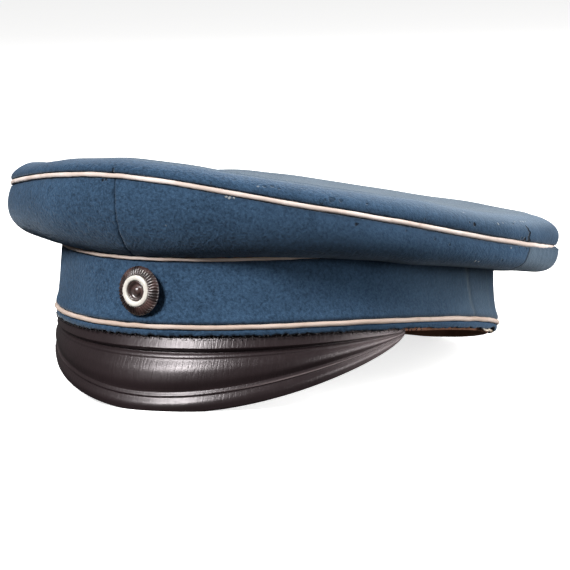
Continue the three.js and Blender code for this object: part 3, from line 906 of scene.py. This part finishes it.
def hem_piece():
    """A narrow ring whose lower edge follows hem_edge. That edge is blackened along the peak, and
    worn pale at the right front."""
    direction, _, base, climb = strip(HEM_ROWS, 1040, crowded(14, 0.7), hem_edge)
    at_peak = ramp(np.abs(from_front(direction)), STITCHES["reach"] + 1, STITCHES["reach"] - 0.5)
    at_right = hill(direction - 318, 16)
    black = 1.2 * hill(climb, 0.6 + 0.25 * uneven(direction, 5)) * at_peak
    grime = (0.3 * fading(climb, 0.4) + black) * (1 - 0.6 * at_right)
    worn = at_right * np.clip(1.3 - climb / (1.4 + 0.4 * uneven(direction, 5)), 0, 1)
    wall_piece("band_hem", direction, base, -turned_edges(climb, 0.6), HEM_WALL, True, blue_wool,
               "cloth", ("head",), grime=grime, worn=worn, felted=felted(direction))


hem_piece()

# %% [markdown]
# ## Scraps at the tear
#
# Where the hem is torn, at the rear left, a shred of cream buckram and the cut end of an olive
# tape hang out. Each is a small strip that curls a little towards its ragged lower edge.

# %% Scraps
SCRAP = {"around": 40, "down": 20, "start_out": -0.9, "thickness": 0.45}


def rag(name, pale, dark):
    """Coarse open-woven cloth, soiled in places."""
    cloth = Finish(name)
    colour = cloth.blend(pale, dark, cloth.noise(500, 3).between(0.4, 0.7))
    weave = cloth.cells(1300.0, randomness=0.4)
    return cloth.done(Base_Color=colour, Normal=cloth.relief(0.6, 0.0003, weave), Roughness=0.9)


def scrap_piece(name, start, end, top, foot, curl, finish):
    """A strip from direction start to end and from height top down to foot, curl mm outwards."""
    around, down = grid(np.linspace(0, 1, SCRAP["around"]), np.linspace(0, 1, SCRAP["down"]))
    direction = start + (end - start) * around + 0.5 * np.sin(down * 5)
    ragged = 0.25 * np.sin(around * 31 + 4 * np.sin(around * 9)) + 0.2 * np.sin(around * 67)
    height = top + (foot + ragged - top) * down
    out = SCRAP["start_out"] + curl * down**1.6 + 0.18 * np.sin(around * 11 + down * 3)
    face = band_point(direction, out, height)
    back = band_point(direction, out - SCRAP["thickness"], height)
    closed_mesh(name, placed(np.concatenate([face, back[:, ::-1]], 1)), False, finish, "cloth")


buckram = rag("buckram", dye(214, 202, 186), dye(150, 134, 116))
olive_tape = rag("olive_tape", dye(104, 92, 70), dye(60, 52, 40))
scrap_piece("buckram_scrap", 106.5, 114.5, -1.8, -4.3, 2.3, buckram)
scrap_piece("tape_end", 114.0, 117.0, -1.8, -4.6, 2.0, olive_tape)

# %% [markdown]
# ## Sweatband
#
# A strip of brown leather lines the band and hangs a little below the hem at the rear, where its
# stained inner face shows.

# %% Sweatband
SWEATBAND_ROWS = {"height": [-4.8, -1, 8, 22], "out": [-1.9, -1.8, -2.3, -2.7]}
SWEATBAND_WALL = 1.2


def sweat_leather():
    """Grained leather, stained, and rubbed pale where worn. Its outer face, under the hem, is
    painted a darker brown as shade, and its inner face a lighter one against the shade inside
    the cap.
    """
    hide = Finish("sweat_leather")
    stain = hide.noise(45, 4)
    fine = hide.noise(500, 3)
    colour = hide.blend(dye(196, 136, 106), dye(150, 96, 72), stain.between(0.35, 0.7))
    # Painted shade: a darker brown on the outer face, which lies under the hem, than on the lighter-painted
    # inner face.
    colour = hide.blend(dye(158, 102, 78), colour, hide.mark("inside"))
    colour = hide.blend(colour, dye(188, 150, 124), hide.mark("worn") * fine.between(0.35, 0.65))
    height = hide.cells(1100.0).between(0.0, 0.25) * 0.5 + fine * 0.5
    return hide.done(Base_Color=colour, Normal=hide.relief(0.5, 0.0003, height),
                     Roughness=0.5 + stain * 0.3, Specular_IOR_Level=0.4)


def sweatband_piece():
    """The leather ring, gently wavy, with rounded edges and a rubbed foot."""
    direction, _, base, climb = strip(SWEATBAND_ROWS, 360, crowded(28, 0.9))
    relief = 0.15 * slow_waves(base * 1.5) - turned_edges(climb, 0.5)
    wall_piece("sweatband", direction, base, relief, SWEATBAND_WALL, True, sweat_leather(),
               "sweat_leather", worn=0.8 * fading(climb, 0.8))


sweatband_piece()

# %% [markdown]
# ## Peak
#
# The peak is stiff black leather, moulded wet: a bead along its sewn root, a groove, a broad
# smooth field, a valley, a rib and a rolled rim. The table gives where each of these lies, as
# shares of the way from root to edge in the middle and at the corners, and how far it stands
# out. The corners and the rib are painted paler grey, partly as rubbing and partly as painted
# sheen at the corners and a painted highlight along the rib's crest.


# %% Peak leather
def peak_leather():
    """Black leather with brushed streaks that run along the peak, grain and fine cracks."""
    black = Finish("peak_leather")
    brushed = black.noise(1.0, 3, place=black.stretched(1700, 140), rough=0.7)
    grain = black.noise(420, 4, rough=0.7)
    cloud = black.noise(30, 3)
    cracks = black.cells(1.0, black.stretched(520, 170))
    colour = black.blend(dye(20, 14, 15), dye(48, 37, 39), cloud * 0.6 + grain * 0.4)
    # Paler grey where the mesh marks rubbing and painted light: sheen at the corners and a highlight along
    # the rib's crest.
    rub = black.mark("rub") * (0.5 + grain * 0.5 + (cloud - 0.5) * 0.6)
    colour = black.blend(colour, dye(120, 107, 107), rub.held())
    height = brushed * 0.5 + cracks.between(0.0, 0.12) * 0.25 + grain * 0.35
    return black.done(Base_Color=colour, Normal=black.relief(0.35, 0.00025, height),
                      Roughness=0.2 + brushed * 0.18 + cloud * 0.1 + rub * 0.2,
                      Specular_IOR_Level=0.65, Specular_Tint=(1.0, 0.93, 0.95, 1.0))


# %% Peak shape
PEAK = {"half_width": 81.2, "drop": 27.7, "taper": 1.12, "twist": 0.235, "flare": 2.7,
        "flare_taper": 3.6, "root_out": 0.8, "wall": 2.2, "reach": 87.0, "relief_taper": 0.5}
PEAK_GRID = {"across": 361, "down": 106}
PEAK_ROOT = -4.0
PEAK_EDGE = {"angles": np.delete(np.linspace(20, 160, 7), 3), "round": 0.7}
MARGIN = {"lift": [2.6, 1.8, 0.9], "back": [1.5, 1.2, 0.8]}
PEAK_ROWS = [  # name, share in the middle, share at the corners, proud in mm
    ("root", 0.0, 0.0, -0.45),
    ("bead", 0.06, 0.08, 0.1),
    ("bead", 0.12, 0.155, 0.65),
    ("bead top", 0.145, 0.185, 0.75),
    ("bead foot", 0.168, 0.215, 0.1),
    ("groove", 0.187, 0.235, -1.1),
    ("groove", 0.205, 0.255, -1.2),
    ("lip", 0.232, 0.285, -0.65),
    ("lip", 0.262, 0.305, -0.35),
    ("field", 0.3, 0.33, -0.32),
    ("field", 0.41, 0.39, 0.75),
    ("field", 0.5, 0.44, 1.1),
    ("field", 0.62, 0.51, 0.95),
    ("valley", 0.735, 0.58, -0.15),
    ("valley", 0.76, 0.61, -0.15),
    ("rib", 0.79, 0.65, 0.18),
    ("rib", 0.805, 0.67, 0.2),
    ("rib foot", 0.822, 0.695, -0.05),
    ("rim", 0.86, 0.745, 0.3),
    ("rim", 0.9, 0.81, 0.68),
    ("rim", 0.945, 0.89, 0.68),
    ("edge", 1.0, 1.0, 0.2),
]
RIB_ROW = 15.5


def peak_sheet(turn, share, proud):
    """A point of the peak. turn goes from -90 at the wearer's right corner to 90 at the left one.
    The sheet hangs from the hem's ellipse: it drops by drop * cos(turn)^1.12, a little more at
    the left than at the right, and flares forward."""
    angle = np.radians(turn)
    x = PEAK["half_width"] * np.sin(angle)
    direction = np.degrees(np.arcsin(x / (BAND["side"] + PEAK["root_out"])))
    root = band_point(direction, PEAK["root_out"], PEAK_ROOT)
    drop = PEAK["drop"] * np.cos(angle) ** PEAK["taper"] * (1 + PEAK["twist"] * np.sin(angle))
    flare = PEAK["flare"] * np.cos(angle) ** PEAK["flare_taper"]
    hang = np.stack([0 * share, -flare * share, -drop * share], -1)
    return root + hang + proud[..., None] * outward(direction)


def peak_piece(material):
    """Sections of the peak: down the moulded face, round the edge, and up the plain inner face,
    with a sewn margin that runs up behind the hem. Corners and rib are marked for rubbing and
    for painted sheen and highlight."""
    turn = PEAK["reach"] * np.sin(np.linspace(-np.pi / 2, np.pi / 2, PEAK_GRID["across"]))
    middle, corner, proud = (np.array([row[k] for row in PEAK_ROWS]) for k in (1, 2, 3))
    steps = np.arange(len(PEAK_ROWS))
    turn, at = grid(turn, np.linspace(0, steps[-1], PEAK_GRID["down"]))
    to_corner = np.sin(np.radians(turn)) ** 2
    share = through_rows(steps, middle, at) * (1 - to_corner) + through_rows(steps, corner, at) * to_corner
    relief = through_rows(steps, proud, at) * np.cos(np.radians(turn)) ** PEAK["relief_taper"]
    outer = peak_sheet(turn, share, relief)
    inner = peak_sheet(turn, share, 0 * relief - PEAK["wall"])
    first, last = outer[:, -1:], inner[:, -1:]
    angle = np.radians(PEAK_EDGE["angles"])[None, :, None]
    edge = (first + last) / 2 + 0.5 * (first - last) * np.cos(angle) - PEAK_EDGE["round"] * np.sin(angle) * UP
    lift = np.array(MARGIN["lift"])[None, :, None] * UP
    back = np.array(MARGIN["back"])[None, :, None] * outward(turn[:, :1])
    margin_out, margin_in = outer[:, :1] + lift - back, inner[:, :1] + lift
    loops = np.concatenate([margin_out, outer, edge, inner[:, ::-1], margin_in[:, ::-1]], 1)
    # Painted sheen towards the corners and a painted highlight along the rib's crest, together with rubbing.
    rub = 0.8 * ramp(np.abs(turn[:, :1]), 52, 76) ** 1.5 * np.ones(loops.shape[1])
    on_rib = hill(at - RIB_ROW, 0.6) * ramp(np.abs(turn), 25, 45)
    face = slice(len(MARGIN["lift"]), len(MARGIN["lift"]) + PEAK_GRID["down"])
    rub[:, face] = np.maximum(rub[:, face], on_rib)
    closed_mesh("peak", placed(loops), False, material, "peak_leather", rub=rub)


peak_piece(peak_leather())

# %% Stitches along the root
STITCH = {"foot": -4.5, "head": -3.7, "radius": 0.23, "points": 6}
STITCH_TAPER = np.array([0.5, 1, 1, 1, 0.5])
STITCH_SUNK = np.array([0.35, 0, 0, 0, 0.35])
UNDER_STITCH = {"height": [-4.5, -4.0, -3.3, -1.5], "out": [1.5, 1.75, 2.0, 2.15]}


def stitches_piece():
    """Short threads that climb from the root's bead over the hem's edge, all in one mesh: a ring
    of six points carried along five steps, for each direction."""
    where = stitch_directions()
    rng = np.random.default_rng(5)
    slant = rng.uniform(-0.6, 0.7, len(where))
    top = STITCH["head"] + rng.uniform(0.0, 0.85, len(where)) ** 1.5
    steps, points = len(STITCH_TAPER), STITCH["points"]
    step = np.linspace(0, 1, steps)
    height = STITCH["foot"] + (top[:, None] - STITCH["foot"]) * step
    direction = where[:, None] + slant[:, None] * step
    out = np.interp(height, UNDER_STITCH["height"], UNDER_STITCH["out"]) - STITCH_SUNK
    centre = band_point(direction, out, height)[:, :, None]
    thick = (STITCH["radius"] * STITCH_TAPER)[:, None, None]
    turn = np.linspace(0, 2 * np.pi, points, endpoint=False)[:, None]
    side, away = outward(direction + 90)[:, :, None], outward(direction)[:, :, None]
    flat = placed(centre + thick * (np.cos(turn) * side + np.sin(turn) * away)).reshape(-1, 3)
    tube, _ = quads(steps, points, False)
    lid = np.array([[0, 1, 2, 3], [0, 3, 4, 5]])
    one = np.concatenate([tube, lid, lid[:, ::-1] + points * (steps - 1)])
    corners = (one + steps * points * np.arange(len(where))[:, None, None]).reshape(-1, 4)
    thread = mottled("black_thread", dye(14, 12, 14), dye(34, 30, 32), 900, 2, Roughness=0.6)
    dressed("root_stitches", flat, corners, np.zeros((*corners.shape, 2)), thread, "peak_leather")


stitches_piece()

# %% [markdown]
# ## Cockade
#
# A small round badge without any device: a fluted black rim, a white ring and a dark boss in a
# recess. Each part is turned like a pot, and the rim rises and falls from rib to rib.

# %% Cockade parts
COCKADE = {"x": 4.3, "height": 13.6, "nod": 3.0, "out": 0.45, "stand_off": 1.6, "radius": 9.6,
           "ring_outer": 6.1, "ring_inner": 4.1, "ribs": 44, "depth": 0.5, "rib_points": 12}


def on_cockade(points):
    """Points of the cockade, which faces +Z in its own frame, turned to face forwards on the band."""
    seat = band_point(math.degrees(math.asin(COCKADE["x"] / BAND["side"])), COCKADE["out"], COCKADE["height"])
    return placed(tipped(points, 90 + COCKADE["nod"]) + seat - np.array([0, COCKADE["stand_off"], 0]))


def turned_piece(name, profile, material, slot, segments):
    """A closed profile of (radius, height, share of a rib) rows carried round the cockade's axis.
    Between two ribs it sinks, by the rows' share of the depth."""
    rows = np.array(profile, float)
    turn = np.linspace(0, 2 * np.pi, segments, endpoint=False)[:, None]
    sink = COCKADE["depth"] * (1 - np.abs(np.sin(turn * COCKADE["ribs"] / 2)) ** 0.7) * rows[:, 2]
    radius, height = rows[:, 0] - 0.5 * sink, rows[:, 1] - sink
    loops = on_cockade(np.stack([radius * np.cos(turn), radius * np.sin(turn), height], -1))
    closed_mesh(name, loops, True, material, slot)


def lacquer(name, deep, light, rough):
    """Old lacquer: a tint that shifts a little, and a clear coat that small chips break."""
    paint = Finish(name)
    cloud, chip = paint.noise(260, 3), paint.noise(900, 3)
    return paint.done(Base_Color=paint.blend(deep, light, cloud.between(0.3, 0.75)),
                      Normal=paint.relief(0.25, 0.0002, chip), Roughness=rough + chip * 0.15,
                      Coat_Weight=chip.between(0.2, 0.5) * 0.8, Coat_Roughness=0.25, Specular_IOR_Level=0.8)


black_lacquer = lacquer("black_lacquer", dye(34, 23, 22), dye(92, 68, 64), 0.26)
white_lacquer = lacquer("white_lacquer", dye(238, 234, 226), dye(214, 207, 196), 0.3)
radius, ring_out, inner = COCKADE["radius"], COCKADE["ring_outer"], COCKADE["ring_inner"]
rim_in, core = ring_out + 0.15, inner - 0.1
turned_piece("cockade_rim", [
    (rim_in, 0, 0), (radius - 0.5, 0, 0), (radius - 0.1, 0.45, 0.1), (radius, 0.9, 0.3),
    (radius - 0.15, 1.35, 0.6), (radius - 0.5, 1.9, 0.9), (radius - 1.0, 2.35, 1), (ring_out + 1.6, 2.7, 1),
    (ring_out + 1.1, 2.9, 1), (ring_out + 0.6, 3.05, 0.7), (ring_out + 0.35, 3.12, 0.2), (rim_in, 3.05, 0),
], black_lacquer, "black_lacquer", COCKADE["ribs"] * COCKADE["rib_points"])
turned_piece("cockade_ring", [
    (inner, 0.6, 0), (ring_out, 0.6, 0), (ring_out, 3.2, 0), (ring_out - 0.15, 3.45, 0),
    (ring_out - 0.5, 3.6, 0), (ring_out - 1.0, 3.66, 0), (inner + 0.5, 3.6, 0), (inner + 0.15, 3.45, 0),
    (inner, 3.2, 0),
], white_lacquer, "white_lacquer", 96)
turned_piece("cockade_centre", [
    (0, 0.6, 0), (core, 0.6, 0), (core, 2.6, 0), (core - 0.15, 2.85, 0), (core - 0.4, 2.92, 0),
    (core - 0.65, 2.8, 0), (core - 0.9, 2.35, 0), (core - 1.2, 2.0, 0), (2.1, 1.85, 0), (1.85, 2.0, 0),
    (1.75, 2.3, 0), (1.6, 2.62, 0), (1.3, 2.9, 0), (0.9, 3.1, 0), (0.45, 3.2, 0), (0, 3.22, 0),
], black_lacquer, "black_lacquer", 64)

# %% Pin: the CAD solid is right, and gets a finish of dull brass
brass = Finish("pin_metal")
dull = brass.noise(600, 3)
brass.done(Base_Color=brass.blend(dye(150, 138, 118), dye(96, 84, 70), dull),
           Roughness=0.35 + dull * 0.3, Metallic=1.0)
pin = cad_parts["cockade_pin"]
pin.data.materials.clear()
pin.data.materials.append(brass.material)
print("finished:", pin.name)
